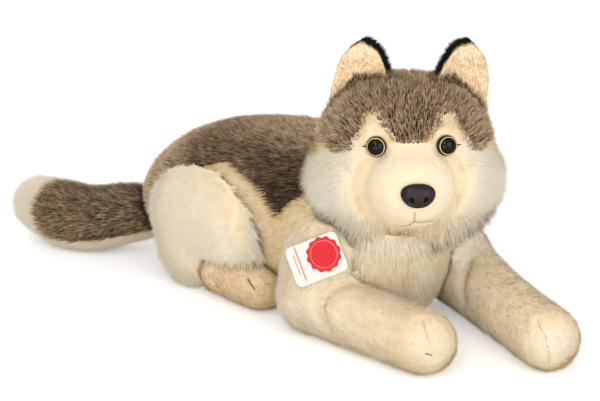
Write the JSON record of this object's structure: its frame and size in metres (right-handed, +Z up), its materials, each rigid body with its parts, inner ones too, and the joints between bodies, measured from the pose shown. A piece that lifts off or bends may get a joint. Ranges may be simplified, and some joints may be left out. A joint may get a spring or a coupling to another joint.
{
  "type": "plush wolf",
  "caption": "Lying plush wolf with turned head, stretched forelegs and brush tail, in cream fur with a dark saddle and crown; a soft toy to hold or set on a shelf.",
  "frame": {"origin": "on the table plane, in the middle of the flat of the belly", "axes": "+X runs from the rump to the chest, +Y to the wolf's left, +Z up"},
  "size_m": [0.4483, 0.1524, 0.1913],
  "materials": {
    "cream_fur": "deep cream pile fur, warmer at its roots",
    "brown_fur": "deep dark brown pile fur with tan tips",
    "black_fur": "short black pile fur",
    "ear_lining": "short cream pile fur",
    "black_gloss": "glossy black dome with a thin golden ring near its rim",
    "nose_plastic": "satin, very dark brown",
    "white_plastic": "plain moulded plastic",
    "tag_card": "smooth off-white card with a plain red disc and two plain lines"
  },
  "bodies": {
    "root": {"torso": "cream_fur", "saddle_panel": "brown_fur", "head": "cream_fur", "crown_panel": "brown_fur", "ear_lining_right": "ear_lining", "ear_lining_left": "ear_lining", "ear_back_right": "black_fur", "ear_back_left": "black_fur", "eye_right": "black_gloss", "eye_left": "black_gloss", "eye_right_washer": "white_plastic", "eye_left_washer": "white_plastic", "nose": "nose_plastic", "nose_washer": "white_plastic", "foreleg_right": "cream_fur", "foreleg_left": "cream_fur", "thigh_right": "cream_fur", "thigh_left": "cream_fur", "hind_foot_right": "cream_fur", "hind_foot_left": "cream_fur", "tail": "cream_fur", "tail_panel": "brown_fur", "hang_tag": "tag_card"}
  },
  "joints": []
}
